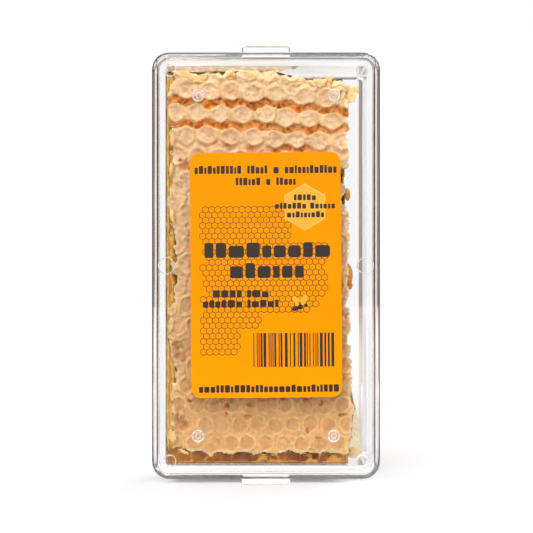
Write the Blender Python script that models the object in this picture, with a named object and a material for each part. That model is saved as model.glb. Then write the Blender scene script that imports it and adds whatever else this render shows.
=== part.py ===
"""Slab of cut honeycomb in its shut, clear two-part box, standing on the box's pull tabs.

Frame: metres, +Z up, the lid's face towards -Y. The origin lies on the table, below the middle
of the box. Four bodies: the comb, the base tray, the lid that slides over it, and the label.
"""

import math

import bmesh
import bpy
from mathutils import Vector

MM = 0.001

# ---- the box, outside -------------------------------------------------------------------------
BOX_W = 71.4 * MM  # across, X
BOX_H = 133.6 * MM  # high, Z, without the pull tabs
BOX_D = 38.0 * MM  # deep, Y
CORNER_R = 5.3 * MM  # outer corner, seen from the front
CORNER_STEPS = 6
PLATE_T = 1.6 * MM  # lid's face and base's back
LID_EDGE_R = 1.5 * MM  # rounded edge between the lid's face and its side
BASE_EDGE_R = 1.0 * MM
FIT_GAP = 0.3 * MM  # between pieces that touch

# ---- pull tabs, one at the top and one at the bottom of each half ------------------------------
TAB_RISE = 1.9 * MM
TAB_ROOT_W = 16.2 * MM
TAB_END_W = 13.6 * MM
TAB_T = 1.2 * MM
TAB_EDGE_R = 0.4 * MM
LID_TAB_Y = -18.3 * MM  # front of the lid's tabs
BASE_TAB_Y = 18.5 * MM  # back of the base's tabs

BOX_MID_Z = TAB_RISE + BOX_H / 2

# ---- walls ------------------------------------------------------------------------------------
SKIRT_T = 1.6 * MM  # lid's side wall
WALL_OUT = 2.5 * MM  # base wall's outer face, in from the outline
WALL_IN = 4.2 * MM  # base wall's inner face, in from the outline
FILLET = 0.6 * MM

FRONT_Y = -BOX_D / 2
BACK_Y = BOX_D / 2

# ---- lugs at the base wall's rim and studs on the lid's face -----------------------------------
LUG_R = 2.0 * MM
LUG_IN = 5.6 * MM  # corner lug's centre, in from both outlines
SIDE_LUG_R = 2.7 * MM
SIDE_LUG_IN = 4.5 * MM
LUG_T = 0.75 * MM
STUD_R = 2.0 * MM
STUD_HOLE_R = 1.1 * MM
STUD_T = 0.45 * MM
STUD_X = 21.2 * MM
STUD_Z = 53.2 * MM

# ---- label ------------------------------------------------------------------------------------
LABEL_W = 47.1 * MM
LABEL_H = 76.6 * MM
LABEL_R = 3.1 * MM
LABEL_T = 0.15 * MM
LABEL_GAP = 0.1 * MM
LABEL_X = 0.0 * MM
LABEL_Z = BOX_MID_Z - 2.9 * MM
LABEL_TURN = math.radians(0.5)  # stuck on slightly askew

# ---- comb -------------------------------------------------------------------------------------
COMB_LEFT = -31.2 * MM
COMB_RIGHT = 26.8 * MM
COMB_FOOT = BOX_MID_Z - 62.3 * MM
COMB_HEAD = BOX_MID_Z + 61.6 * MM
COMB_FRONT = -15.9 * MM
COMB_BACK = 17.1 * MM
COMB_CHAMFER = 1.6 * MM
CELL_WIDE_TOP = 7.2 * MM  # large cells at the head of the slab
CELL_WIDE_FOOT = 5.6 * MM  # worker-sized cells at its foot
ROW_SHARE = 0.94  # a row's height, as a share of its cells' width
CAP_SHARE = 0.78  # a cap's flat, as a share of its cell
CAP_RISE = 0.9 * MM  # caps above the grooves between them
CAP_T = 1.5 * MM  # capping at a cut cell
MIDRIB_Y = 0.6 * MM
MIDRIB_T = 1.0 * MM
CELL_WALL = 0.5 * MM
CUT_DEPTH = 1.2 * MM  # cut cells are open this deep at the slab's sides
CUT_REACH = 2.2 * MM  # a cell is cut open if its middle is this near or half its width


def clear_scene():
    for ob in list(bpy.data.objects):
        bpy.data.objects.remove(ob, do_unlink=True)


def material(name, colour, roughness, transmission=0.0, ior=1.5):
    mat = bpy.data.materials.new(name)
    mat.use_nodes = True
    shader = mat.node_tree.nodes["Principled BSDF"]
    shader.inputs["Base Color"].default_value = (*colour, 1.0)
    shader.inputs["Roughness"].default_value = roughness
    shader.inputs["Metallic"].default_value = 0.0
    shader.inputs["Transmission Weight"].default_value = transmission
    shader.inputs["IOR"].default_value = ior
    mat.diffuse_color = (*colour, 1.0)
    return mat


def to_object(name, bm, mat, smooth_deg=None):
    mesh = bpy.data.meshes.new(name)
    bm.to_mesh(mesh)
    bm.free()
    ob = bpy.data.objects.new(name, mesh)
    bpy.context.scene.collection.objects.link(ob)
    if mat is not None:
        mesh.materials.append(mat)
    if smooth_deg is not None:
        mesh.polygons.foreach_set("use_smooth", [True] * len(mesh.polygons))
        mesh.set_sharp_from_angle(angle=math.radians(smooth_deg))
    return ob


def boolean(target, cutter, operation):
    """Joins cutter to target, or takes it away, and removes it."""
    mod = target.modifiers.new(operation.title(), "BOOLEAN")
    mod.operation = operation
    mod.solver = "EXACT"
    mod.object = cutter
    cutter.hide_render = True
    cutter.display_type = "WIRE"
    with bpy.context.temp_override(
        object=target, active_object=target, selected_objects=[target]
    ):
        bpy.ops.object.modifier_apply(modifier=mod.name)
    bpy.data.objects.remove(cutter, do_unlink=True)


def round_rect(half_w, half_h, radius, steps):
    """Corners first to last, anticlockwise in (x, z); the same number of points for any size."""
    points = []
    for k, (sx, sz) in enumerate(((1, 1), (-1, 1), (-1, -1), (1, -1))):
        cx, cz = sx * (half_w - radius), sz * (half_h - radius)
        for i in range(steps + 1):
            a = math.pi / 2 * (k + i / steps)
            points.append((cx + radius * math.cos(a), cz + radius * math.sin(a)))
    return points


def shell(stations):
    """A closed body of rounded rectangles, one for each (inset, y), with both ends capped."""
    bm = bmesh.new()
    rings = []
    for inset, y in stations:
        radius = max(CORNER_R - inset, 0.9 * MM)
        outline = round_rect(BOX_W / 2 - inset, BOX_H / 2 - inset, radius, CORNER_STEPS)
        rings.append([bm.verts.new((x, y, BOX_MID_Z + z)) for x, z in outline])
    n = len(rings[0])
    for a, b in zip(rings, rings[1:]):
        for i in range(n):
            bm.faces.new((a[i], a[(i + 1) % n], b[(i + 1) % n], b[i]))
    bm.faces.new(rings[0])
    bm.faces.new(rings[-1])
    bmesh.ops.recalc_face_normals(bm, faces=bm.faces)
    return bm


def rounded_edge(inset, y, radius, towards, steps=3):
    """Stations round a convex edge: from the plate's face out to its side, depth growing with towards."""
    out = []
    for i in range(steps + 1):
        a = math.pi / 2 * i / steps
        out.append(
            (
                inset + radius * (1 - math.sin(a)),
                y + towards * radius * (1 - math.cos(a)),
            )
        )
    return out


def prism(points, y0, y1):
    """Upright outline in (x, z), drawn along Y."""
    bm = bmesh.new()
    front = [bm.verts.new((x, y0, z)) for x, z in points]
    back = [bm.verts.new((x, y1, z)) for x, z in points]
    n = len(points)
    bm.faces.new(front)
    bm.faces.new(back)
    for i in range(n):
        bm.faces.new((front[i], front[(i + 1) % n], back[(i + 1) % n], back[i]))
    bmesh.ops.recalc_face_normals(bm, faces=bm.faces)
    return bm


def inset_loop(points, depth):
    """The loop moved inwards by depth, along the mitre at each corner."""
    n = len(points)
    turn = sum(
        points[i][0] * points[(i + 1) % n][1] - points[(i + 1) % n][0] * points[i][1]
        for i in range(n)
    )
    sign = 1.0 if turn > 0 else -1.0
    out = []
    for i in range(n):
        ax, az = points[i - 1]
        bx, bz = points[i]
        cx, cz = points[(i + 1) % n]
        l0, l1 = math.hypot(bx - ax, bz - az), math.hypot(cx - bx, cz - bz)
        n0 = (-(bz - az) / l0 * sign, (bx - ax) / l0 * sign)
        n1 = (-(cz - bz) / l1 * sign, (cx - bx) / l1 * sign)
        mx, mz = n0[0] + n1[0], n0[1] + n1[1]
        reach = depth * 2 / max(mx * mx + mz * mz, 0.4)
        out.append((bx + mx * reach, bz + mz * reach))
    return out


def rounded_prism(points, y0, y1, radius, steps=2):
    """As prism, with its two rims rounded."""
    bm = bmesh.new()
    stations = []
    for y, towards in ((y0, 1), (y1, -1)):
        side = []
        for i in range(steps + 1):
            a = math.pi / 2 * i / steps
            side.append((radius * (1 - math.sin(a)), y + towards * radius * (1 - math.cos(a))))
        stations += side if towards > 0 else side[::-1]
    rings = [
        [bm.verts.new((x, y, z)) for x, z in inset_loop(points, depth)]
        for depth, y in stations
    ]
    n = len(points)
    for a, b in zip(rings, rings[1:]):
        for i in range(n):
            bm.faces.new((a[i], a[(i + 1) % n], b[(i + 1) % n], b[i]))
    bm.faces.new(rings[0])
    bm.faces.new(rings[-1])
    bmesh.ops.recalc_face_normals(bm, faces=bm.faces)
    return bm


def tab_outline(up):
    """Pull tab with flared root and rounded end, standing out of the top (up 1) or bottom (-1)."""
    root, end, rise = TAB_ROOT_W / 2, TAB_END_W / 2, TAB_RISE
    side = []
    steps = 3
    flare = root - end - 0.7 * MM
    for i in range(steps + 1):
        a = math.pi / 2 * i / steps
        side.append((root - flare * math.sin(a), flare * (1 - math.cos(a))))
    corner = 0.7 * MM
    for i in range(steps + 1):
        a = math.pi / 2 * i / steps
        side.append((end + corner * math.cos(a), rise - corner + corner * math.sin(a)))
    side = [(root + 1.1 * MM, -1.1 * MM)] + side
    loop = side + [(-x, z) for x, z in reversed(side)]
    base = BOX_MID_Z + up * BOX_H / 2
    return [(x, base + up * z) for x, z in loop]


def disc(cx, cz, radius, steps, start=0.0, sweep=math.tau):
    closed = sweep >= math.tau
    count = steps if closed else steps + 1
    return [
        (
            cx + radius * math.cos(start + sweep * i / steps),
            cz + radius * math.sin(start + sweep * i / steps),
        )
        for i in range(count)
    ]


def add_tabs(ob, y0, y1):
    for up in (1, -1):
        tab = rounded_prism(tab_outline(up), y0, y1, TAB_EDGE_R)
        boolean(ob, to_object("tab", tab, None), "UNION")


def make_lid(mat):
    inner_y = FRONT_Y + PLATE_T
    stations = rounded_edge(0.0, FRONT_Y, LID_EDGE_R, 1, 6)
    rim_y = BACK_Y - PLATE_T - FIT_GAP
    stations += [(0.0, rim_y), (SKIRT_T, rim_y)]
    stations += [(SKIRT_T, inner_y + FILLET), (SKIRT_T + FILLET * 0.3, inner_y + FILLET * 0.3)]
    stations += [(SKIRT_T + FILLET, inner_y)]
    lid = to_object("box_lid", shell(stations), mat)
    add_tabs(lid, LID_TAB_Y, LID_TAB_Y + TAB_T)
    for sx in (1, -1):
        for sz in (1, -1):
            x, z = sx * STUD_X, BOX_MID_Z + sz * STUD_Z
            stud = to_object(
                "stud",
                ring_stud(x, z, FRONT_Y + 0.3 * MM, FRONT_Y - STUD_T),
                None,
            )
            boolean(lid, stud, "UNION")
    finish_smooth(lid, 35)
    return lid


def lathe(cx, cz, profile, steps):
    """Closed round body from (radius, y) stations, its axis along Y."""
    bm = bmesh.new()
    rings = [
        [bm.verts.new((x, y, z)) for x, z in disc(cx, cz, r, steps)] for r, y in profile
    ]
    for a, b in zip(rings, rings[1:]):
        for i in range(steps):
            bm.faces.new((a[i], a[(i + 1) % steps], b[(i + 1) % steps], b[i]))
    bm.faces.new(rings[0])
    bm.faces.new(rings[-1])
    bmesh.ops.recalc_face_normals(bm, faces=bm.faces)
    return bm


def ring_stud(cx, cz, y_in, y_out):
    """Low round stud: a raised, rounded ring about a dished middle."""
    profile = [
        (STUD_R, y_in),
        (STUD_R, y_out + 0.28 * MM),
        (STUD_R - 0.13 * MM, y_out + 0.08 * MM),
        (STUD_R - 0.4 * MM, y_out),
        (STUD_R - 0.7 * MM, y_out + 0.1 * MM),
        (STUD_HOLE_R - 0.05 * MM, y_out + 0.3 * MM),
        (STUD_HOLE_R * 0.45, y_out + 0.38 * MM),
    ]
    return lathe(cx, cz, profile, 14)


def corner_lug(cx, cz, y0, y1):
    """Round lug with a rounded front rim."""
    profile = [
        (LUG_R, y1),
        (LUG_R, y0 + 0.45 * MM),
        (LUG_R - 0.14 * MM, y0 + 0.14 * MM),
        (LUG_R - 0.45 * MM, y0),
    ]
    return lathe(cx, cz, profile, 14)


def make_base(mat):
    inner_y = BACK_Y - PLATE_T
    rim_y = FRONT_Y + PLATE_T + FIT_GAP
    stations = rounded_edge(0.0, BACK_Y, BASE_EDGE_R, -1, 4)
    stations += [(0.0, inner_y), (WALL_OUT, inner_y), (WALL_OUT, rim_y), (WALL_IN, rim_y)]
    stations += [(WALL_IN, inner_y - FILLET), (WALL_IN + FILLET * 0.3, inner_y - FILLET * 0.3)]
    stations += [(WALL_IN + FILLET, inner_y)]
    base = to_object("box_base", shell(stations), mat)
    add_tabs(base, inner_y + 0.05 * MM, BASE_TAB_Y)
    lug_y0, lug_y1 = rim_y + 0.1 * MM, rim_y + 0.1 * MM + LUG_T
    for sx in (1, -1):
        for sz in (1, -1):
            cx = sx * (BOX_W / 2 - LUG_IN)
            cz = BOX_MID_Z + sz * (BOX_H / 2 - LUG_IN)
            lug = to_object("lug", corner_lug(cx, cz, lug_y0, lug_y1), None)
            boolean(base, lug, "UNION")
        flat_x = sx * (BOX_W / 2 - (WALL_OUT + WALL_IN) / 2)
        cx = sx * (BOX_W / 2 - SIDE_LUG_IN)
        drop = abs(flat_x - cx)
        lean = math.asin(drop / SIDE_LUG_R)
        start = (math.pi / 2 - lean) if sx > 0 else (-math.pi / 2 - lean)
        points = disc(cx, BOX_MID_Z, SIDE_LUG_R, 14, start, math.pi + 2 * lean)
        lug = to_object("lug", prism(points, lug_y0, lug_y1), None)
        boolean(base, lug, "UNION")
    finish_smooth(base, 35)
    return base


def finish_smooth(ob, degrees):
    ob.data.polygons.foreach_set("use_smooth", [True] * len(ob.data.polygons))
    ob.data.set_sharp_from_angle(angle=math.radians(degrees))


def make_label(mat):
    outline = round_rect(LABEL_W / 2, LABEL_H / 2, LABEL_R, 6)
    y1 = FRONT_Y - LABEL_GAP
    bm = prism(outline, y1 - LABEL_T, y1)
    label = to_object("label", bm, mat)
    label.location = (LABEL_X, 0.0, LABEL_Z)
    label.rotation_euler = (0.0, -LABEL_TURN, 0.0)
    return label


# ---- comb: cells as the nearest-middle regions of a lattice that widens towards the head -------


def cell_middles(shift):
    """Rows of cell middles inside the slab, from head to foot; odd rows are set over by half a cell."""
    middles = []
    z, row = COMB_HEAD - 3.4 * MM + shift * MM, 0
    while z > COMB_FOOT + 1.6 * MM:
        down = (COMB_HEAD - z) / (COMB_HEAD - COMB_FOOT)
        wide = CELL_WIDE_TOP + (CELL_WIDE_FOOT - CELL_WIDE_TOP) * min(max(down, 0), 1)
        x = COMB_LEFT + wide * (0.55 if (row + (shift > 0)) % 2 else 0.05) + 0.9 * MM
        column = 0
        while x < COMB_RIGHT - 0.22 * wide:
            sway = 0.28 * MM * math.sin(2.1 * row + 1.7 * column)
            lift = 0.25 * MM * math.sin(1.3 * row - 2.3 * column + 0.8)
            if x > COMB_LEFT + 0.10 * wide:
                middles.append((x + sway, z + lift, wide))
            x += wide
            column += 1
        z -= wide * ROW_SHARE
        row += 1
    return middles


def slab_planes():
    """The slab's outline as (normal x, normal z, distance): four cut sides and four blunted corners."""
    planes = [
        (-1.0, 0.0, -COMB_LEFT),
        (1.0, 0.0, COMB_RIGHT),
        (0.0, -1.0, -COMB_FOOT),
        (0.0, 1.0, COMB_HEAD),
    ]
    s = math.sqrt(0.5)
    for sx, x in ((-1, COMB_LEFT), (1, COMB_RIGHT)):
        for sz, z in ((-1, COMB_FOOT), (1, COMB_HEAD)):
            d = s * (sx * x + sz * z) - s * COMB_CHAMFER
            planes.append((s * sx, s * sz, d))
    return planes


def clip(polygon, nx, nz, d):
    """The part of a convex polygon where nx*x + nz*z <= d."""
    out = []
    for i, (x0, z0) in enumerate(polygon):
        x1, z1 = polygon[(i + 1) % len(polygon)]
        a, b = nx * x0 + nz * z0 - d, nx * x1 + nz * z1 - d
        if a <= 0:
            out.append((x0, z0))
        if (a < 0 < b) or (b < 0 < a):
            t = a / (a - b)
            out.append((x0 + t * (x1 - x0), z0 + t * (z1 - z0)))
    return out


def cell_bounds(middles, index):
    """Half planes between one cell and its near neighbours."""
    x, z, wide = middles[index]
    bounds = []
    for j, (u, v, _) in enumerate(middles):
        gap = math.hypot(u - x, v - z)
        if j != index and gap < 2.6 * wide:
            nx, nz = (u - x) / gap, (v - z) / gap
            bounds.append((nx, nz, nx * (u + x) / 2 + nz * (v + z) / 2))
    return bounds


def start_square(x, z):
    r = 30 * MM
    return [(x - r, z - r), (x + r, z - r), (x + r, z + r), (x - r, z + r)]


def cell_polygon(middles, index, planes):
    x, z, _ = middles[index]
    polygon = start_square(x, z)
    for plane in cell_bounds(middles, index) + planes:
        polygon = clip(polygon, *plane)
    return polygon


def add_capped_face(bm, middles, planes, cap_y, groove_y):
    """One face of the slab: a flat cap on each cell, with sloping edges down to shared grooves."""
    for index, (cx, cz, _) in enumerate(middles):
        polygon = cell_polygon(middles, index, planes)
        mx = sum(p[0] for p in polygon) / len(polygon)
        mz = sum(p[1] for p in polygon) / len(polygon)
        low = 0.12 * MM * (1 + math.sin(3.3 * index))
        y = cap_y + math.copysign(low, groove_y - cap_y)
        outer = [bm.verts.new((px, groove_y, pz)) for px, pz in polygon]
        inner = [
            bm.verts.new((mx + CAP_SHARE * (px - mx), y, mz + CAP_SHARE * (pz - mz)))
            for px, pz in polygon
        ]
        n = len(polygon)
        bm.faces.new(inner)
        for i in range(n):
            bm.faces.new((outer[i], outer[(i + 1) % n], inner[(i + 1) % n], inner[i]))


def close_sides(bm, planes):
    """One flat face on each cut side, between the two capped faces."""
    bmesh.ops.remove_doubles(bm, verts=bm.verts, dist=0.03 * MM)
    for nx, nz, d in planes:
        on = [
            v
            for v in bm.verts
            if abs(nx * v.co.x + nz * v.co.z - d) < 0.004 * MM
            and any(e.is_boundary for e in v.link_edges)
        ]
        front = [v for v in on if v.co.y < 0]
        back = [v for v in on if v.co.y > 0]

        def along(v, nx=nx, nz=nz):
            return -nz * v.co.x + nx * v.co.z

        front.sort(key=along)
        back.sort(key=along)
        bm.faces.new(front + back[::-1])


def cut_cell_cutters(faces, planes):
    """Short open troughs where the knife went lengthwise through the cells, as one mesh."""
    bm = bmesh.new()
    for middles, y0, y1 in faces:
        for index, (x, z, wide) in enumerate(middles):
            for nx, nz, d in planes[:4]:
                away = d - (nx * x + nz * z)
                if away > max(CUT_REACH, wide * 0.62):
                    continue
                polygon = start_square(x, z)
                for bx, bz, bd in cell_bounds(middles, index):
                    polygon = clip(polygon, bx, bz, bd - CELL_WALL / 2)
                for qx, qz, qd in planes:
                    same = (qx, qz) == (nx, nz)
                    polygon = clip(polygon, qx, qz, qd + (1.0 if same else -0.9) * MM)
                polygon = clip(polygon, -nx, -nz, CUT_DEPTH - d)
                reach = [nx * px + nz * pz for px, pz in polygon]
                side = [-nz * px + nx * pz for px, pz in polygon]
                if len(polygon) < 3 or max(side) - min(side) < 1.6 * MM:
                    continue
                if max(reach) < d + 0.5 * MM:
                    continue
                lower = [bm.verts.new((px, y0, pz)) for px, pz in polygon]
                upper = [bm.verts.new((px, y1, pz)) for px, pz in polygon]
                n = len(polygon)
                bm.faces.new(lower)
                bm.faces.new(upper)
                for i in range(n):
                    bm.faces.new(
                        (lower[i], lower[(i + 1) % n], upper[(i + 1) % n], upper[i])
                    )
    bmesh.ops.recalc_face_normals(bm, faces=bm.faces)
    return bm


def make_comb(mat):
    planes = slab_planes()
    front, back = cell_middles(0.0), cell_middles(1.4)
    bm = bmesh.new()
    add_capped_face(bm, front, planes, COMB_FRONT, COMB_FRONT + CAP_RISE)
    add_capped_face(bm, back, planes, COMB_BACK, COMB_BACK - CAP_RISE)
    close_sides(bm, planes)
    bmesh.ops.recalc_face_normals(bm, faces=bm.faces)
    comb = to_object("honeycomb", bm, mat)
    faces = (
        (front, COMB_FRONT + CAP_T, MIDRIB_Y - MIDRIB_T / 2),
        (back, MIDRIB_Y + MIDRIB_T / 2, COMB_BACK - CAP_T),
    )
    cutter = to_object("cut_cells", cut_cell_cutters(faces, planes), None)
    boolean(comb, cutter, "DIFFERENCE")
    return comb


def main():
    clear_scene()
    wax = material("capped_comb", (0.76, 0.50, 0.22), 0.45)
    plastic = material("clear_plastic", (0.93, 0.94, 0.95), 0.06, 1.0, 1.58)
    paper = material("label_paper", (0.99, 0.38, 0.012), 0.5)
    make_comb(wax)
    make_base(plastic)
    make_lid(plastic.copy())
    make_label(paper)
    for ob in bpy.data.objects:
        bm = bmesh.new()
        bm.from_mesh(ob.data)
        bmesh.ops.remove_doubles(bm, verts=bm.verts, dist=0.001 * MM)
        open_edges = sum(1 for e in bm.edges if not e.is_manifold)
        tris = sum(len(f.verts) - 2 for f in bm.faces)
        print(ob.name, "triangles", tris, "open edges", open_edges)
        bm.to_mesh(ob.data)
        bm.free()


main()
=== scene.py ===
import math

import bpy
import numpy as np
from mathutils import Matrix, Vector


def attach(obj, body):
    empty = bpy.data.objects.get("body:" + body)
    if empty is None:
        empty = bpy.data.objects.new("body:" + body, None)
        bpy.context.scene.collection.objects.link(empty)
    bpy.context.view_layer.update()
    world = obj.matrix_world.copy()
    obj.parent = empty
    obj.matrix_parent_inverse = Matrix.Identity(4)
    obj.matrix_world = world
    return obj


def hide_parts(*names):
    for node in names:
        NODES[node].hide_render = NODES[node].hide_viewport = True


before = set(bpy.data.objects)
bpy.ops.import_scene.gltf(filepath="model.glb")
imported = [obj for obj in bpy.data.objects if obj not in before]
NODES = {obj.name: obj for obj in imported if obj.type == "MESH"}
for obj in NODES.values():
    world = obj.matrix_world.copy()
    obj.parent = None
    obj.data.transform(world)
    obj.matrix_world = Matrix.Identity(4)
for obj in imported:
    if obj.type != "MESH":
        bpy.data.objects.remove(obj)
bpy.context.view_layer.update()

MM = 0.001

# ---- sizes, in millimetres, in the row frame ----------------------------------------------------
MID_Z = 68.7  # middle of the box
FRONT, BACK = -19.0, 19.0
COMB_L, COMB_R = -31.2, 26.8
COMB_B, COMB_T = MID_Z - 62.3, MID_Z + 61.6
COMB_F, COMB_K = -15.9, 17.1
RIB_Y = 0.6  # the comb's middle wall


# ---- noise --------------------------------------------------------------------------------------
def hash2(ix, iz, seed):
    h = (ix * 374761393 + iz * 668265263 + seed * 144266504) & 0xFFFFFFFF
    h = ((h ^ (h >> 13)) * 1274126177) & 0xFFFFFFFF
    return ((h ^ (h >> 16)) & 0xFFFFFF) / float(0xFFFFFF)


def noise(x, z, seed):
    """Smooth value noise from -1 to 1, with features one unit wide."""
    fx, fz = np.floor(x), np.floor(z)
    ix, iz = fx.astype(np.int64), fz.astype(np.int64)
    tx, tz = x - fx, z - fz
    tx, tz = tx * tx * (3 - 2 * tx), tz * tz * (3 - 2 * tz)
    a, b = hash2(ix, iz, seed), hash2(ix + 1, iz, seed)
    c, d = hash2(ix, iz + 1, seed), hash2(ix + 1, iz + 1, seed)
    return 2 * (a + (b - a) * tx + (c - a) * tz + (a - b - c + d) * tx * tz) - 1


def fbm(x, z, scale, octaves, seed):
    total, amp, norm = 0.0, 1.0, 0.0
    for k in range(octaves):
        # each octave is turned a little, so the lattice doesn't show
        c, s = math.cos(0.7 + 1.1 * k), math.sin(0.7 + 1.1 * k)
        total = total + amp * noise((c * x - s * z) / scale, (s * x + c * z) / scale, seed + 17 * k)
        norm += amp
        amp *= 0.55
        scale *= 0.5
    return total / norm


def step(a, b, x):
    t = np.clip((x - a) / (b - a), 0, 1)
    return t * t * (3 - 2 * t)


def bump_at(x, centre, width):
    return np.exp(-(((x - centre) / width) ** 2))


# ---- colours ------------------------------------------------------------------------------------
def lin(r, g, b):
    out = []
    for c in (r, g, b):
        c /= 255
        out.append(c / 12.92 if c <= 0.04045 else ((c + 0.055) / 1.055) ** 2.4)
    return tuple(out)


CAP_HEAD = lin(243, 206, 161)
CAP_FOOT = lin(219, 163, 99)
CAP_PALE = lin(242, 208, 165)
RIM_WAX = lin(240, 200, 134)
RIM_WAX_FOOT = lin(250, 210, 132)
CRUST_EDGE = lin(248, 228, 180)
AMBER = lin(244, 150, 38)
AMBER_DEEP = lin(180, 90, 10)
HONEY = lin(226, 152, 34)
HONEY_PALE = lin(240, 194, 92)
CELL_WAX = lin(244, 204, 122)


def blend_rgb(a, b, t):
    """From a to b by t; a and b are colours or arrays of them."""
    t = np.asarray(t)[..., None]
    return np.asarray(a) * (1 - t) + np.asarray(b) * t


# ---- cell lattice -------------------------------------------------------------------------------
ROWS = 18
STEP_TOP, STEP_FOOT = 7.1, 5.98  # row heights at the slab's head and foot
WIDE_TOP, WIDE_FOOT = 7.3, 5.55  # cell widths there


def lattice(seed, droop):
    """Cell middles (x, z up from the box's middle), widths, row numbers and a random tone."""
    rng = np.random.default_rng(seed)
    cells = []
    z = 55.3
    for row in range(-1, ROWS + 1):
        t = min(max(row / (ROWS - 1), 0), 1)
        wide = WIDE_TOP + (WIDE_FOOT - WIDE_TOP) * t**0.8
        zr = z + STEP_TOP if row < 0 else z
        x = -25.1 - 2 * wide + (0 if row % 2 == 0 else -0.47 * wide)
        while x < 33:
            drop = droop * max(0.0, 1 - row / 7) * max(0.0, (x + 22) / 44) ** 1.4
            jitter = rng.normal(0, 0.05, 2) * wide
            size = wide * (1 + rng.normal(0, 0.03))
            cells.append((x + jitter[0], zr + 0.7 * jitter[1] - drop, size, row, rng.random()))
            x += wide
        if row >= 0:
            z -= STEP_TOP + (STEP_FOOT - STEP_TOP) * row / (ROWS - 2)
    return np.array(cells)


def cell_fields(x, z, cells):
    """For each point: distance in cell units to the nearest middle and to the next, how far it is from the line between
    rows, and the nearest cell's number.
    """
    q1 = np.full(x.shape, 9.0)
    q2 = np.full(x.shape, 9.0)
    row1 = np.full(x.shape, 9.0)
    row2 = np.full(x.shape, 9.0)
    near = np.zeros(x.shape, int)
    for row in np.unique(cells[:, 3]):
        best = np.zeros(x.shape)
        for i in np.nonzero(cells[:, 3] == row)[0]:
            cx, cz, wide = cells[i, :3]
            dx = np.abs(x - cx) / (0.5 * wide)
            dz = np.abs(z - cz) / (0.5 * wide) * 1.0
            hexa = np.maximum(dx, 0.5 * dx + 0.866 * dz * 0.97)
            q = 0.3 * hexa + 0.7 * np.hypot(dx, dz * 0.96)
            better = q < q1
            q2 = np.where(better, q1, np.minimum(q2, q))
            near = np.where(better, i, near)
            q1 = np.where(better, q, q1)
            best += np.exp(-3.2 * q)
        best = -np.log(best + 1e-12) / 3.2  # neighbours in a row run together
        closer = best < row1
        row2 = np.where(closer, row1, np.minimum(row2, best))
        row1 = np.where(closer, best, row1)
    return q1, q2, row2 - row1, near


# ---- meshes -------------------------------------------------------------------------------------
def make_piece(name, verts, faces, tint=None, wet=None, smooth=True):
    mesh = bpy.data.meshes.new(name)
    verts = np.asarray(verts, dtype=np.float32)
    if isinstance(faces, np.ndarray):
        mesh.vertices.add(len(verts))
        mesh.vertices.foreach_set("co", verts.ravel())
        k = faces.shape[1]
        mesh.loops.add(faces.size)
        mesh.loops.foreach_set("vertex_index", faces.ravel().astype(np.int32))
        mesh.polygons.add(len(faces))
        mesh.polygons.foreach_set("loop_start", np.arange(0, faces.size, k, dtype=np.int32))
        mesh.update(calc_edges=True)
    else:
        mesh.from_pydata([tuple(map(float, v)) for v in verts], [], faces)
        mesh.update()
    mesh.validate()
    if tint is not None:
        attr = mesh.color_attributes.new("Tint", "FLOAT_COLOR", "POINT")
        rgba = np.ones((len(verts), 4), np.float32)
        rgba[:, :3] = tint
        attr.data.foreach_set("color", rgba.ravel())
    if wet is not None:
        attr = mesh.attributes.new("Wet", "FLOAT", "POINT")
        attr.data.foreach_set("value", np.asarray(wet, np.float32).ravel())
    mesh.polygons.foreach_set("use_smooth", [smooth] * len(mesh.polygons))
    ob = bpy.data.objects.new(name, mesh)
    bpy.context.scene.collection.objects.link(ob)
    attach(ob, "root")
    return ob


def grid_piece(name, pos, tint, wet, keep=None, skirt=None):
    """A sheet over a grid of points pos (a, b, 3) in millimetres. keep marks the cells of the grid that exist. skirt (a vector) gives its edges thickness."""
    na, nb = pos.shape[:2]
    index = np.arange(na * nb).reshape(na, nb)
    quads = np.stack(
        [index[:-1, :-1], index[1:, :-1], index[1:, 1:], index[:-1, 1:]], axis=-1
    ).reshape(-1, 4)
    if keep is not None:
        quads = quads[keep.reshape(-1)]
    points = pos.reshape(-1, 3)
    tint = tint.reshape(-1, 3)
    wet = wet.reshape(-1)
    if skirt is not None:
        edges = np.concatenate([quads[:, [k, (k + 1) % 4]] for k in range(4)])
        code = edges.min(1) * (na * nb) + edges.max(1)
        unique, first, counts = np.unique(code, return_index=True, return_counts=True)
        rim = edges[first[counts == 1]]
        ids = np.unique(rim)
        lookup = np.full(len(points), -1)
        lookup[ids] = len(points) + np.arange(len(ids))
        points = np.concatenate([points, points[ids] + np.asarray(skirt)])
        # painted shade: the skirt's far edge is tinted 10% darker
        tint = np.concatenate([tint, tint[ids] * 0.9])
        wet = np.concatenate([wet, wet[ids]])
        wall = np.stack([rim[:, 1], rim[:, 0], lookup[rim[:, 0]], lookup[rim[:, 1]]], axis=-1)
        quads = np.concatenate([quads, wall])
    used = np.unique(quads)
    renumber = np.full(len(points), -1)
    renumber[used] = np.arange(len(used))
    return make_piece(name, points[used] * MM, renumber[quads], tint[used], wet[used])


# ---- materials ----------------------------------------------------------------------------------
def new_material(name):
    mat = bpy.data.materials.new(name)
    mat.use_nodes = True
    tree = mat.node_tree
    return mat, tree, tree.nodes["Principled BSDF"]


def add(tree, kind, **inputs):
    node = tree.nodes.new(kind)
    for key, value in inputs.items():
        node.inputs[key.replace("_", " ")].default_value = value
    return node


def mix_colour(tree, factor, a, b, mode="MIX"):
    node = tree.nodes.new("ShaderNodeMix")
    node.data_type = "RGBA"
    node.blend_type = mode
    for socket, value in ((node.inputs[0], factor), (node.inputs[6], a), (node.inputs[7], b)):
        if isinstance(value, bpy.types.NodeSocket):
            tree.links.new(value, socket)
        elif isinstance(value, tuple):
            socket.default_value = (*value[:3], 1.0)
        else:
            socket.default_value = value
    return node.outputs[2]


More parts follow.
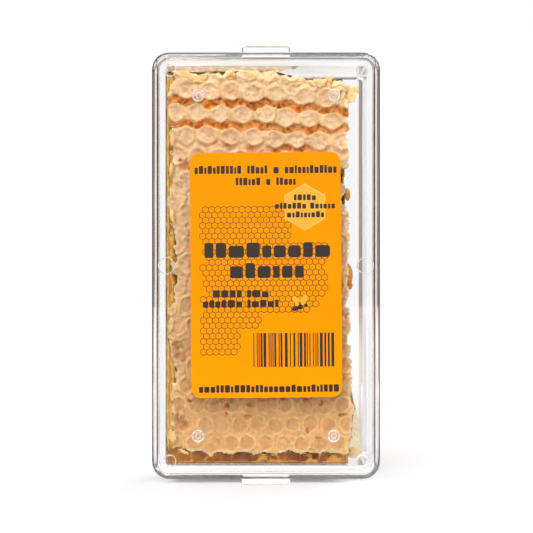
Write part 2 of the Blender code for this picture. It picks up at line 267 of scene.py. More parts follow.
def map_range(tree, value, a, b, c, d):
    node = tree.nodes.new("ShaderNodeMapRange")
    tree.links.new(value, node.inputs[0])
    for i, v in enumerate((a, b, c, d)):
        node.inputs[i + 1].default_value = v
    return node.outputs[0]


def comb_material():
    mat, tree, shader = new_material("capped_comb_wax")
    link = tree.links.new
    coords = tree.nodes.new("ShaderNodeTexCoord").outputs["Object"]
    tint = tree.nodes.new("ShaderNodeAttribute")
    tint.attribute_name = "Tint"
    wet = tree.nodes.new("ShaderNodeAttribute")
    wet.attribute_name = "Wet"
    cloud = add(tree, "ShaderNodeTexNoise", Scale=420.0, Detail=3.0, Roughness=0.55)
    link(coords, cloud.inputs["Vector"])
    shade = map_range(tree, cloud.outputs["Fac"], 0.25, 0.75, 0.89, 1.09)
    grey = tree.nodes.new("ShaderNodeCombineColor")
    for k in range(3):
        link(shade, grey.inputs[k])
    colour = mix_colour(tree, 1.0, tint.outputs["Color"], grey.outputs[0], "MULTIPLY")
    fleck = add(tree, "ShaderNodeTexVoronoi", Scale=900.0, Randomness=1.0)
    link(coords, fleck.inputs["Vector"])
    hole = map_range(tree, fleck.outputs["Distance"], 0.10, 0.20, 0.55, 0.0)
    sparse = add(tree, "ShaderNodeTexNoise", Scale=260.0, Detail=1.0)
    link(coords, sparse.inputs["Vector"])
    where = map_range(tree, sparse.outputs["Fac"], 0.52, 0.62, 0.0, 1.0)
    both = tree.nodes.new("ShaderNodeMath")
    both.operation = "MULTIPLY"
    link(hole, both.inputs[0])
    link(where, both.inputs[1])
    colour = mix_colour(tree, both.outputs[0], colour, lin(176, 122, 66))
    link(colour, shader.inputs["Base Color"])
    rough = tree.nodes.new("ShaderNodeMath")
    rough.operation = "MULTIPLY_ADD"
    link(wet.outputs["Fac"], rough.inputs[0])
    rough.inputs[1].default_value = -0.34
    uneven = map_range(tree, cloud.outputs["Fac"], 0.3, 0.7, 0.40, 0.54)
    link(uneven, rough.inputs[2])
    link(rough.outputs[0], shader.inputs["Roughness"])
    fine = add(tree, "ShaderNodeTexNoise", Scale=1300.0, Detail=3.0, Roughness=0.7)
    link(coords, fine.inputs["Vector"])
    dent = add(tree, "ShaderNodeBump", Strength=0.75, Distance=0.0004)
    link(fine.outputs["Fac"], dent.inputs["Height"])
    link(dent.outputs[0], shader.inputs["Normal"])
    shader.inputs["Subsurface Weight"].default_value = 0.10
    shader.inputs["Subsurface Radius"].default_value = (1.0, 0.55, 0.25)
    shader.inputs["Subsurface Scale"].default_value = 0.002
    shader.inputs["IOR"].default_value = 1.45
    return mat


def plastic_material(name, seed):
    """Clear rigid plastic, faintly hazy and wavy. Lamps reach what it shuts in."""
    mat, tree, shader = new_material(name)
    link = tree.links.new
    shader.inputs["Base Color"].default_value = (0.985, 0.985, 0.99, 1)
    shader.inputs["Transmission Weight"].default_value = 1.0
    shader.inputs["IOR"].default_value = 1.5
    coords = tree.nodes.new("ShaderNodeTexCoord").outputs["Object"]
    haze = add(tree, "ShaderNodeTexNoise", Scale=60.0 + seed, Detail=4.0, Roughness=0.6)
    link(coords, haze.inputs["Vector"])
    rough = map_range(tree, haze.outputs["Fac"], 0.35, 0.75, 0.012, 0.05)
    link(rough, shader.inputs["Roughness"])
    waves = add(tree, "ShaderNodeTexNoise", Scale=45.0, Detail=1.0)
    link(coords, waves.inputs["Vector"])
    dent = add(tree, "ShaderNodeBump", Strength=0.05, Distance=0.001)
    link(waves.outputs["Fac"], dent.inputs["Height"])
    link(dent.outputs[0], shader.inputs["Normal"])
    out = tree.nodes["Material Output"]
    path = tree.nodes.new("ShaderNodeLightPath")
    clear = tree.nodes.new("ShaderNodeBsdfTransparent")
    clear.inputs["Color"].default_value = (1, 1, 1, 1)
    mixer = tree.nodes.new("ShaderNodeMixShader")
    link(path.outputs["Is Shadow Ray"], mixer.inputs[0])
    link(shader.outputs[0], mixer.inputs[1])
    link(clear.outputs[0], mixer.inputs[2])
    link(mixer.outputs[0], out.inputs["Surface"])
    return mat


def film_material():
    """A thin smear of honey, clear and faintly yellow, cloudy in places."""
    mat, tree, shader = new_material("honey_smear")
    link = tree.links.new
    coords = tree.nodes.new("ShaderNodeTexCoord").outputs["Object"]
    cloud = add(tree, "ShaderNodeTexNoise", Scale=300.0, Detail=3.0)
    link(coords, cloud.inputs["Vector"])
    link(mix_colour(tree, cloud.outputs["Fac"], (0.80, 0.72, 0.42), (0.70, 0.58, 0.26)), shader.inputs["Base Color"])
    link(map_range(tree, cloud.outputs["Fac"], 0.3, 0.7, 0.08, 0.30), shader.inputs["Roughness"])
    dent = add(tree, "ShaderNodeBump", Strength=0.4, Distance=0.0003)
    link(cloud.outputs["Fac"], dent.inputs["Height"])
    link(dent.outputs[0], shader.inputs["Normal"])
    shader.inputs["Transmission Weight"].default_value = 0.85
    shader.inputs["IOR"].default_value = 1.2
    return mat


def paper_material():
    mat, tree, shader = new_material("label_print_ground")
    link = tree.links.new
    coords = tree.nodes.new("ShaderNodeTexCoord").outputs["Object"]
    cloud = add(tree, "ShaderNodeTexNoise", Scale=70.0, Detail=3.0)
    link(coords, cloud.inputs["Vector"])
    colour = mix_colour(tree, cloud.outputs["Fac"], lin(252, 152, 0), lin(254, 158, 0))
    link(colour, shader.inputs["Base Color"])
    rough = map_range(tree, cloud.outputs["Fac"], 0.3, 0.7, 0.42, 0.52)
    link(rough, shader.inputs["Roughness"])
    shader.inputs["Specular IOR Level"].default_value = 0.06
    grain = add(tree, "ShaderNodeTexNoise", Scale=2200.0, Detail=2.0)
    link(coords, grain.inputs["Vector"])
    dent = add(tree, "ShaderNodeBump", Strength=0.04, Distance=0.0001)
    link(grain.outputs["Fac"], dent.inputs["Height"])
    link(dent.outputs[0], shader.inputs["Normal"])
    return mat


def ink_material(name, a, b, rough=0.42):
    mat, tree, shader = new_material(name)
    coords = tree.nodes.new("ShaderNodeTexCoord").outputs["Object"]
    cloud = add(tree, "ShaderNodeTexNoise", Scale=150.0, Detail=2.0)
    tree.links.new(coords, cloud.inputs["Vector"])
    colour = mix_colour(tree, cloud.outputs["Fac"], a, b)
    tree.links.new(colour, shader.inputs["Base Color"])
    shader.inputs["Roughness"].default_value = rough
    return mat


COMB_MAT = comb_material()


# ---- the capped faces ---------------------------------------------------------------------------
def crust_outline(x, z, seed):
    """Millimetres inside the capping's torn outline, negative outside. z is up from the box's middle."""
    ragged = 0.6 * fbm(z, z * 0 + 3.1, 2.6, 4, seed) + 0.6 * fbm(x, z, 1.3, 2, seed + 5)
    left = x + 29.9 - 1.5 * fbm(z, z * 0, 6.5, 3, seed + 1) - 1.3 * ragged
    right = slab_right(z, z * 0) + 0.5 - x + 0.8 * fbm(z, z * 0 + 9, 4.5, 3, seed + 2) - 1.1 * fbm(x, z, 1.6, 3, seed + 6)
    foot = z + 59.8 - 1.25 * arches(x) ** 0.6 + 0.9 * fbm(x, x * 0, 3.5, 3, seed + 3) + 0.6 * ragged
    foot = foot - 1.2 * step(-22, -27, x)
    head = slab_head(x, x * 0) - 0.9 - z + 2.0 * fbm(x, x * 0 + 5, 4.2, 4, seed + 4) - 1.1 * ragged - 0.5 * fbm(x, z, 0.9, 2, seed + 7)
    return np.minimum(np.minimum(left, right), np.minimum(foot, head))


def arches(x):
    """0 where a cell wall meets the capping's foot, 1 over the middle of each cut cell."""
    return np.abs(np.sin((x + 1.4 * noise(x / 9.0, x * 0 + 0.5, 305) + 3.0) * math.pi / 6.9))


def slab_head(x, y):
    """Height of the slab's cut top, up from the box's middle; it was cut low at the right."""
    return 61.4 + 0.5 * fbm(x, y, 6.0, 3, 301) - 2.6 * step(1, 14, x)


def slab_right(z, y):
    return 25.4 + 0.9 * fbm(z, y, 8.0, 3, 302) + 0.7 * step(0, -30, z) - 1.2 * step(50, 60, z)


# torn or unsealed places in the capping, (x, z, half width, half height), millimetres
OPEN_CELLS = [
    (24.6, 27.8, 1.6, 3.0),
    (25.0, 20.6, 1.0, 2.1),
    (-29.3, 3.0, 1.5, 2.0),
    (-29.4, -4.8, 1.1, 2.3),
    (-29.5, -34.4, 1.2, 2.6),
]
# crumbled places where the capping has gone but the honey under it hasn't run
CRUMBLED = [
    (-28.6, -27.6, 3.6, 4.2),
    (-27.4, -49.6, 3.9, 3.9),
    (26.2, -15.6, 1.6, 2.0),
    (-26.5, -46.0, 1.6, 1.3),
]
# small deep holes between caps near the foot and the label's edge
PITS = [
    (-12.5, -44.0, 0.85, 0.95),
    (-12.9, -46.8, 0.8, 1.0),
    (-5.1, -43.7, 0.95, 0.55),
    (-8.9, -49.0, 0.6, 0.75),
    (-5.9, -47.3, 1.2, 0.35),
    (17.1, -43.2, 0.95, 0.8),
    (23.8, -47.0, 1.2, 0.6),
    (13.0, -51.7, 0.6, 0.8),
    (16.1, -54.1, 0.8, 0.35),
    (-1.5, -42.1, 0.9, 0.6),
    (5.3, -41.9, 0.9, 0.5),
    (12.8, -41.9, 0.9, 0.5),
    (-23.9, -42.4, 0.8, 0.6),
    (-26.8, 33.0, 0.7, 0.5),
]


def capped_face(name, seed, front, pitch=0.35):
    cells = lattice(seed, 3.0 if front else 0.6)
    xs = np.arange(COMB_L + 0.15, COMB_R + 1.6, pitch)
    zs = np.arange(COMB_B - MID_Z + 0.2, COMB_T - MID_Z - 0.1, pitch)
    x, z = np.meshgrid(xs, zs, indexing="ij")
    # the lattice is bent a little before it is read, so no cap is a perfect hexagon
    wx = x + 0.45 * fbm(x, z, 5.0, 3, seed + 11)
    wz = z + 0.45 * fbm(x, z, 5.0, 3, seed + 12)
    q1, q2, between, near = cell_fields(wx, wz, cells)
    edge = q2 - q1
    tone = cells[near, 4]
    cell_random = hash2(near.astype(np.int64), near.astype(np.int64) * 7 + 3, seed + 40)
    mound = step(8, 38, z + 3.5 * fbm(x, z, 14.0, 2, seed + 13))
    if not front:
        mound = 0.6 * mound
    # mounded caps: dished disc, raised ring, then a fall to the gap between rows
    dish = -0.28 * step(0.68, 0.3, q1) - 0.28 * (cell_random - 0.5)
    ring = (0.30 + 0.25 * cell_random) * bump_at(q1 + 0.07 * fbm(x, z, 1.8, 2, seed + 26), 0.74, 0.10)
    rows_gap = step(0.62, 0.36, between + 0.24 * fbm(x, z, 2.1, 3, seed + 14))
    band = np.clip(0.62 + 0.75 * fbm(x, z, 5.0, 2, seed + 15), 0.0, 1.0)
    third = step(46, 40, z)  # below the third row the gaps close into separate holes
    rows_gap = rows_gap * (1 - third * (1 - band * 0.75))
    droop = (3.0 if front else 0.6) * np.maximum(0.0, (x + 22) / 44) ** 1.4
    rows_gap = rows_gap * step(57.6, 56.2, z + droop)  # above the first row the wax is one torn strip
    side_gap = step(0.22, 0.0, edge)
    high = dish + ring - 1.1 * rows_gap - 0.35 * side_gap * (1 - rows_gap) + 0.25
    # flat capping: sunken discs and a raised seam between cells
    wide_rim = 0.06 * fbm(x, z, 3.0, 2, seed + 24)
    seam = np.maximum(bump_at(q1 + wide_rim, 0.87, 0.11), 0.3 * step(0.74, 0.92, q1 + wide_rim))
    seam = seam * (0.5 + 0.75 * cell_random) * (0.85 + 0.6 * fbm(x, z, 2.4, 2, seed + 27))
    level = 0.14 * (cell_random - 0.5)
    crease = bump_at(edge, 0.0, 0.10) * step(-0.1, 0.4, fbm(x, z, 4.0, 2, seed + 25))
    flat = 0.55 * seam - 0.14 * crease + level - 0.24
    flat_pit = step(0.42, 0.62, fbm(x, z, 2.6, 2, seed + 16)) * step(0.20, 0.05, edge)
    flat_pit *= step(-22, -2, z) * 0.9
    h = high * mound + flat * (1 - mound)
    pit = np.zeros_like(h)
    if front:
        for px, pz, rx, rz in PITS:
            d = np.hypot((x - px) / rx, (z - pz) / rz) + 0.35 * fbm(x, z, 0.9, 2, seed + 17)
            pit = np.maximum(pit, step(1.45, 0.6, d))
    pit = np.maximum(pit, flat_pit * (1 - mound))
    h = h - 0.7 * pit
    broken = np.zeros_like(h)
    if front:
        for px, pz, rx, rz in CRUMBLED:
            d = np.hypot((x - px) / rx, (z - pz) / rz) + 0.5 * fbm(x, z, 2.2, 3, seed + 33)
            broken = np.maximum(broken, step(1.05, 0.8, d))
    h = h * (1 - broken) + broken * (-0.35 + 0.5 * fbm(x, z, 1.4, 2, seed + 34))
    gap = np.clip(rows_gap * mound + pit, 0, 1)
    # crumbly wax on caps, blistered honey in the gaps
    grain = fbm(x, z, 1.5, 4, seed + 18)
    crumb = fbm(x, z, 0.75, 2, seed + 19)
    h = h + (0.38 * grain + 0.32 * crumb) * (1 - 0.4 * gap)
    blister = np.abs(fbm(x, z, 1.5, 2, seed + 20))
    h = h + gap * 0.8 * (0.55 - blister * 2.0)
    h = h + 0.35 * fbm(x, z, 17.0, 2, seed + 21)
    h = np.minimum(h, 0.72)
    # outline, open cells and edges
    inside = crust_outline(x, z, seed + 30)
    if front:
        for px, pz, rx, rz in OPEN_CELLS:
            d = (np.hypot((x - px) / rx, (z - pz) / rz) - 1) * min(rx, rz)
            inside = np.minimum(inside, d + 1.1 * fbm(x, z, 1.6, 3, seed + 31))
    curl = step(1.3, 0.0, inside)
    h = h - 0.5 * curl * (0.6 + 0.6 * fbm(x, z, 2.0, 2, seed + 32))
    # colour: the caps are painted darker towards the foot and paler towards the head, partly the wax's own tone and
    # partly painted shade for light falling off downwards; the raised grain is painted paler too, partly random tone
    # and partly painted highlight
    cap = blend_rgb(CAP_FOOT, CAP_HEAD, step(-50, 45, z + 8 * (tone - 0.5)))
    cap = blend_rgb(cap, CAP_PALE, np.clip(0.15 + 0.5 * (tone - 0.5) + 0.45 * grain, 0, 0.8) * (0.35 + 0.65 * step(-45, 25, z)))
    ring_line = bump_at(q1 + wide_rim, 0.80, 0.13)
    rimness = np.clip(ring_line * mound * 0.8 + seam * (1 - mound), 0, 1)
    rim_wax = blend_rgb(RIM_WAX_FOOT, RIM_WAX, step(-30, 30, z))
    tint = cap * (1 - 0.8 * rimness[..., None]) + rim_wax * 0.8 * rimness[..., None]
    # honey shows faintly through the middle of some caps
    soaked = step(0.05, 0.55, fbm(x, z, 3.2, 3, seed + 22) + 0.35 * (cell_random - 0.5))
    tint = blend_rgb(tint, lin(204, 140, 84), 0.36 * soaked * step(0.85, 0.45, q1))
    deep = blend_rgb(AMBER, AMBER_DEEP, np.clip(0.45 + 1.3 * fbm(x, z, 1.6, 2, seed + 23), 0, 1))
    # painted highlight: the crests of the honey blisters in the gaps are painted pale, standing for glints
    deep = blend_rgb(deep, lin(240, 180, 112), 0.7 * step(0.30, 0.04, blister))
    soak = step(0.15, 0.75, gap)
    tint = tint * (1 - soak[..., None]) + deep * soak[..., None]
    rubble = blend_rgb(lin(176, 112, 58), lin(232, 184, 124), np.clip(0.5 + 1.3 * fbm(x, z, 1.5, 3, seed + 35), 0, 1))
    tint = tint * (1 - broken[..., None]) + rubble * broken[..., None]
    # partly painted highlight: the tint rises on the raised crumbs; the broad mottle beside it is the wax's own
    tint = tint * (1 + 0.15 * crumb + 0.07 * fbm(x, z, 4.5, 3, seed + 28))[..., None]
    edge_wax = curl * 0.7 * (1 - soak)
    tint = tint * (1 - edge_wax[..., None]) + np.asarray(CRUST_EDGE) * edge_wax[..., None]
    wet = np.clip(soak + 0.12 + 0.6 * broken, 0, 1)
    y = (COMB_F + 0.85 - h) if front else (COMB_K - 0.85 + h)
    pos = np.stack([x, y, z + MID_Z], axis=-1)
    cell_inside = (
        inside[:-1, :-1] + inside[1:, :-1] + inside[1:, 1:] + inside[:-1, 1:]
    ) / 4
    keep = cell_inside > 0
    if not front:
        pos, tint, wet, keep = pos[::-1], tint[::-1], wet[::-1], keep[::-1]
    ob = grid_piece(name, pos, tint, wet, keep, skirt=(0, 1.1 if front else -1.1, 0))
    ob.data.materials.append(COMB_MAT)
    return ob, cells


def open_face(name, cells, seed, front, pitch=0.5):
    """What lies under the capping: cell walls standing in honey."""
    xs = np.arange(COMB_L + 0.05, COMB_R + 0.3, pitch)
    zs = np.arange(COMB_B - MID_Z + 0.05, COMB_T - MID_Z, pitch)
    x, z = np.meshgrid(xs, zs, indexing="ij")
    wx = x + 0.4 * fbm(x, z, 5.0, 3, seed + 11)
    wz = z + 0.4 * fbm(x, z, 5.0, 3, seed + 12)
    q1, q2, _, near = cell_fields(wx, wz, cells)
    edge = q2 - q1
    level = hash2(near.astype(np.int64), near.astype(np.int64) * 5 + 1, seed + 41)
    wall = step(0.26, 0.06, edge)
    depth = 1.2 + 2.4 * level + 0.5 * step(0.4, 0.9, q1)
    torn = 0.5 + 0.5 * fbm(x, z, 2.3, 3, seed + 42)
    h = -depth * (1 - wall) - wall * 0.9 * torn + 0.1 * fbm(x, z, 1.2, 3, seed + 43)
    honey = blend_rgb(HONEY, AMBER, np.clip(level * 1.1 + 0.4 * fbm(x, z, 3.0, 2, seed + 44), 0, 1))
    tint = honey * (1 - wall[..., None]) + np.asarray(CELL_WAX) * wall[..., None]
    # the cut cells along the foot: amber hollows between thin walls, with crumbs of wax below
    foot = step(-56.6, -57.8, z)
    span = arches(x)
    low = np.clip((-58.0 - z) / 4.3, 0, 1)
    hollow = blend_rgb(lin(134, 62, 0), lin(198, 118, 14), np.clip(0.16 + 0.3 * low + 0.9 * fbm(x, z, 2.6, 3, seed + 46), 0, 1))
    hollow = blend_rgb(hollow, lin(206, 146, 58), step(16, 25, x) * 0.7)
    hollow = blend_rgb(hollow, lin(190, 130, 34), step(-20, -27, x) * 0.8)
    thin = 0.75 * step(0.24, 0.06, span + 0.45 * low + 0.35 * fbm(x, z, 1.6, 2, seed + 47))
    lump = step(0.34, 0.50, fbm(x, z, 2.2, 3, seed + 48) + 0.16 * low)
    waxy = np.clip(np.maximum(thin, lump), 0, 1)
    hollow = hollow * (1 - waxy[..., None]) + np.asarray(lin(214, 152, 60)) * waxy[..., None]
    tint = tint * (1 - foot[..., None]) + hollow * foot[..., None]
    deep_foot = -1.5 * span * (1 - 0.3 * low) * (1 - waxy) + 0.25 * waxy + 0.45 * fbm(x, z, 1.5, 3, seed + 49)
    h = h * (1 - foot) + deep_foot * foot
    wall = np.maximum(wall * (1 - foot), waxy * foot)
    # lighter, yellower honey down the left edge
    side_strip = step(-27.8, -29.6, x) * (1 - foot)
    light = blend_rgb(lin(246, 186, 70), lin(255, 222, 126), np.clip(0.4 + 1.2 * fbm(x, z, 2.4, 3, seed + 50), 0, 1))
    tint = tint * (1 - 0.85 * side_strip[..., None]) + light * 0.85 * side_strip[..., None]
    h = h * (1 - 0.85 * side_strip)
    # painted light: near the slab's head the open cells are painted in the light honey colour, lifting the shade under
    # the capping's torn head
    top_strip = step(55.5, 58.0, z)
    tint = tint * (1 - 0.9 * top_strip[..., None]) + light * 0.9 * top_strip[..., None]
    h = h * (1 - 0.6 * top_strip)
    brim = step(2.2, 0.8, slab_head(x, x * 0) - z)
    tint = tint * (1 - 0.34 * brim)[..., None]
    wet = 1 - 0.6 * wall
    y = (COMB_F + 1.9 - h) if front else (COMB_K - 1.9 + h)
    pos = np.stack([x, y, z + MID_Z], axis=-1)
    if not front:
        pos, tint, wet = pos[::-1], tint[::-1], wet[::-1]
    inside = np.minimum(slab_head(x, x * 0) - z, slab_right(z, z * 0) - x)
    inside = inside - 0.3 - 1.2 * np.maximum(0, fbm(x, z, 3.0, 3, seed + 51)) * step(56, 60, z)
    keep = (inside[:-1, :-1] + inside[1:, 1:]) > 0
    if not front:
        keep = keep[::-1]
    ob = grid_piece(name, pos, tint, wet, keep, skirt=(0, 3.0 if front else -3.0, 0))
    ob.data.materials.append(COMB_MAT)
    return ob


# ---- the cut sides ------------------------------------------------------------------------------
def cut_side(name, seed, side, pitch=0.45):
    """A side where the knife went through: cells lie open along the depth, on both sides of the middle wall."""
    along_z = side in ("left", "right")
    ys = np.arange(COMB_F + 1.2, COMB_K - 1.1, pitch)
    if along_z:
        us = np.arange(COMB_B - MID_Z + 0.1, COMB_T - MID_Z, pitch)
    else:
        us = np.arange(COMB_L + 0.1, COMB_R, pitch)
    y, u = np.meshgrid(ys, us, indexing="ij")
    far = step(RIB_Y - 0.4, RIB_Y + 0.4, y)
    lean = 0.05 * np.abs(y - RIB_Y)  # cells slope up from the middle wall
    v = u + (lean if along_z else 0) + 0.75 * fbm(y, u, 6.0, 2, seed + 1) + 0.35 * fbm(y, u, 2.2, 2, seed + 6)
    if along_z:
        down = np.clip((COMB_T - MID_Z - v) / 124, 0, 1)
        # rows grow smaller downwards
        rows = ROWS + 0.6
        phase = rows * (down * (1 + 0.08 * (1 - down))) + 0.5 * far
    else:
        wide = WIDE_TOP if side == "top" else WIDE_FOOT
        phase = v / wide + 0.5 * far
    number = np.floor(phase).astype(np.int64)
    t = phase - np.floor(phase)
    to_wall = np.minimum(t, 1 - t)
    which = hash2(number, (far > 0.5).astype(np.int64) * 3 + 1, seed + 2)
    wall = step(0.15, 0.04, to_wall + 0.06 * fbm(y, u, 2.6, 2, seed + 7))
    open_deep = 0.5 + 1.5 * which
    if side in ("top", "bottom"):
        open_deep = 0.25 * open_deep
    flat_cut = (which > 0.72).astype(float)  # the knife ran along a wall here
    bowl = np.sqrt(np.clip(1 - (2 * t - 1) ** 2, 0, 1))
    h = -open_deep * bowl * (1 - 0.75 * flat_cut)
    h = h * (1 - wall)
    rib = bump_at(y, RIB_Y, 0.55)
    h = h * (1 - rib)
    end = np.minimum(y - (COMB_F + 1.2), (COMB_K - 1.1) - y)
    cap_zone = step(1.4, 0.2, end)
    h = h * (1 - 0.8 * cap_zone)
    h = h + 0.16 * fbm(y, u, 1.8, 4, seed + 3) - 0.25
    # long lumps where honey has run and set against the plastic
    run = step(0.35, 0.75, fbm(y, u, 7.0, 3, seed + 4))
    h = h * (1 - 0.5 * run) + run * 0.05
    h = np.minimum(h, 0.12)
    waxy = np.clip(wall + rib + 0.9 * cap_zone + 0.55 * flat_cut, 0, 1)
    honey = blend_rgb(HONEY, AMBER, np.clip(0.35 + 0.8 * fbm(y, u, 4.0, 3, seed + 5) + 0.3 * which - 0.2, 0, 1))
    # painted light and shade per side: each cut side gets its own blend towards pale honey and its own darkening, lit
    # and shaded versions of one honey; the top, under the lamp above, is darkened most
    bright = 0.7 if side in ("top", "left") else 0.4
    honey = honey * (1 - bright) + np.asarray(lin(232, 180, 88)) * bright
    tint = honey * (1 - waxy[..., None]) + np.asarray(CELL_WAX) * waxy[..., None]
    tint = tint * {"top": 0.62, "left": 0.84, "right": 0.9, "bottom": 0.9}[side]
    wet = 1 - 0.65 * waxy
    if along_z:
        at = COMB_L if side == "left" else COMB_R
        u = np.minimum(u, slab_head(at + u * 0, y * 0.15) - 0.2)
    else:
        u = np.minimum(u, slab_right(u * 0 + (60 if side == "top" else -60), y * 0.15) - 0.2)
    if side == "left":
        pos = np.stack([COMB_L + 0.25 - h, y, u + MID_Z], axis=-1)
        flip = False
    elif side == "right":
        pos = np.stack([slab_right(u, y * 0.15) + h, y, u + MID_Z], axis=-1)
        flip = True
    elif side == "bottom":
        pos = np.stack([u, y, COMB_B + 0.25 - h], axis=-1)
        flip = True
    else:
        pos = np.stack([u, y, slab_head(u, y * 0.15) + MID_Z + h], axis=-1)
        flip = False
    if flip:
        pos, tint, wet = pos[::-1], tint[::-1], wet[::-1]
    ob = grid_piece(name, pos, tint, wet)
    ob.data.materials.append(COMB_MAT)
    return ob


front_crust, front_cells = capped_face("comb_caps_front", 3, True)
back_crust, back_cells = capped_face("comb_caps_back", 77, False)


def torn_flap():
    """A leaf of torn wax standing out beside the slab at its upper right."""
    a, b = np.meshgrid(np.linspace(0, 1, 26), np.linspace(0, 1, 26), indexing="ij")
    ragged = 0.9 * fbm(b * 9, b * 0, 1.6, 3, 401)
    x = 22.6 + a * (5.2 + 1.2 * ragged + 2.2 * b) - 0.4 * b
    z = 50.8 + b * 6.6 + 0.9 * a * (1 - b) - 0.9 * a * b + 0.6 * fbm(a * 8, a * 0, 1.3, 3, 402)
    y = -14.9 + 1.0 * np.sin(2.2 * a + 0.8) + 0.5 * b * b + 0.35 * fbm(a * 9, b * 9, 1.4, 3, 403)
    pos = np.stack([x, y, z + MID_Z], axis=-1)
    tone = np.clip(0.5 + fbm(a * 8, b * 8, 1.6, 3, 404), 0, 1)
    tint = blend_rgb(lin(240, 196, 120), lin(254, 230, 172), tone)
    ob = grid_piece("comb_torn_flap", pos, tint, 0.25 + 0 * a, skirt=(0, 0.4, 0))
    ob.data.materials.append(COMB_MAT)
    return ob


def torn_leaves():
    """Small ragged leaves of wax left standing along the slab's torn head and down its left edge."""
    # (x, z, width, height, turn, tone): middles in millimetres, turn in radians
    leaves = [
        (-25.0, 59.6, 7.0, 3.0, -0.30, 0.7),
        (-20.6, 58.8, 5.0, 2.4, 0.35, 0.4),
        (-11.2, 59.6, 3.4, 2.2, 0.1, 0.2),
        (-4.8, 59.7, 6.0, 3.4, 0.12, 0.6),
        (0.6, 59.4, 5.6, 3.4, -0.22, 0.8),
        (5.4, 58.2, 4.2, 2.2, -0.1, 0.3),
        (10.4, 57.4, 4.0, 2.0, 0.25, 0.5),
        (16.6, 57.6, 5.0, 2.6, -0.12, 0.7),
        (19.6, 58.2, 2.6, 2.6, 0.5, 0.5),
        (22.6, 56.0, 4.4, 3.2, 0.3, 0.9),
        (-29.6, 40.0, 1.6, 5.0, 0.1, 0.6),
        (-29.7, 30.2, 1.4, 4.2, -0.1, 0.4),
        (-29.6, 16.0, 1.5, 4.8, 0.12, 0.7),
        (-29.7, -19.0, 1.4, 4.0, -0.1, 0.6),
        (-29.5, -53.6, 2.2, 3.6, 0.3, 0.3),
        (-25.6, -58.6, 3.4, 0.9, -0.4, 0.2),
        (14.6, -58.4, 3.0, 0.8, -0.1, 0.3),
    ]
    verts, faces, tints, wets = [], [], [], []
    n = 14
    for k, (cx, cz, wide, tall, turn, tone) in enumerate(leaves):
        a, b = np.meshgrid(np.linspace(-1, 1, n), np.linspace(-1, 1, n), indexing="ij")
        # a square grid squeezed to a ragged round outline
        round_a, round_b = a * np.sqrt(1 - 0.42 * b * b), b * np.sqrt(1 - 0.42 * a * a)
        rag = 1 + 0.42 * fbm(2.4 * round_a + 9 * k, 2.4 * round_b, 1.0, 3, 431)
        u, v = round_a * rag * wide / 2, round_b * rag * tall / 2
        c, s_ = math.cos(turn), math.sin(turn)
        x, z = cx + u * c - v * s_, cz + u * s_ + v * c
        x = np.clip(x, COMB_L + 0.1, COMB_R + 3.5)
        z = np.clip(z, -62.0, 61.3)
        y = -15.6 + 0.5 * fbm(u + 7 * k, v, 1.7, 3, 432) + 0.25 * v * (0.4 + 0.6 * tone) + 0.3 * np.hypot(a, b)
        y = np.maximum(y, COMB_F - 0.7)
        light = np.clip(0.55 * tone + 0.25 + 0.6 * fbm(u + 3 * k, v, 1.5, 3, 433), 0, 1)
        tint = blend_rgb(lin(226, 168, 84), lin(250, 222, 160), light)
        points = np.stack([x, y, z + MID_Z], axis=-1).reshape(-1, 3)
        back = points + (0, 0.35, 0)
        start = len(verts)
        verts += [tuple(p * MM) for p in points] + [tuple(p * MM) for p in back]
        shade = tint.reshape(-1, 3)
        # painted shade: each leaf's back is tinted 10% darker than its front
        tints += list(shade) + list(shade * 0.9)
        wets += [0.2 + 0.3 * (1 - tone)] * (2 * n * n)
        at = lambda i, j, side=0: start + side * n * n + i * n + j
        for i in range(n - 1):
            for j in range(n - 1):
                faces.append((at(i, j), at(i + 1, j), at(i + 1, j + 1), at(i, j + 1)))
                faces.append((at(i, j + 1, 1), at(i + 1, j + 1, 1), at(i + 1, j, 1), at(i, j, 1)))
            faces.append((at(i, 0, 1), at(i + 1, 0, 1), at(i + 1, 0), at(i, 0)))
            faces.append((at(i, n - 1), at(i + 1, n - 1), at(i + 1, n - 1, 1), at(i, n - 1, 1)))
            faces.append((at(0, i), at(0, i + 1), at(0, i + 1, 1), at(0, i, 1)))
            faces.append((at(n - 1, i, 1), at(n - 1, i + 1, 1), at(n - 1, i + 1), at(n - 1, i)))
    ob = make_piece("comb_torn_leaves", verts, faces, np.array(tints), np.array(wets))
    ob.data.materials.append(COMB_MAT)
    return ob


def honey_film():
    """A thin film of honey that has crept up the tray's right wall from the foot."""
    a, b = np.meshgrid(np.linspace(0, 1, 22), np.linspace(0, 1, 60), indexing="ij")
    z = -61.4 + 22.5 * b
    left = 25.8 + 0.7 * fbm(z, z * 0, 5.0, 3, 421)
    right = 30.7 - 3.4 * b**1.6 + 0.5 * fbm(z, z * 0 + 4, 3.0, 3, 422)
    x = left + (right - left) * a
    y = -6.5 + 0.5 * fbm(x, z, 3.5, 3, 423) + 2.0 * a
    pos = np.stack([x, y, z + MID_Z], axis=-1)
    tone = np.clip(0.45 + 0.9 * fbm(x, z, 4.0, 3, 424), 0, 1)
    tint = blend_rgb(lin(232, 222, 190), lin(244, 236, 206), tone)
    ob = grid_piece("comb_honey_film", pos, tint, 0.9 + 0 * a, skirt=(0, 0.35, 0))
    ob.data.materials.append(film_material())
    return ob


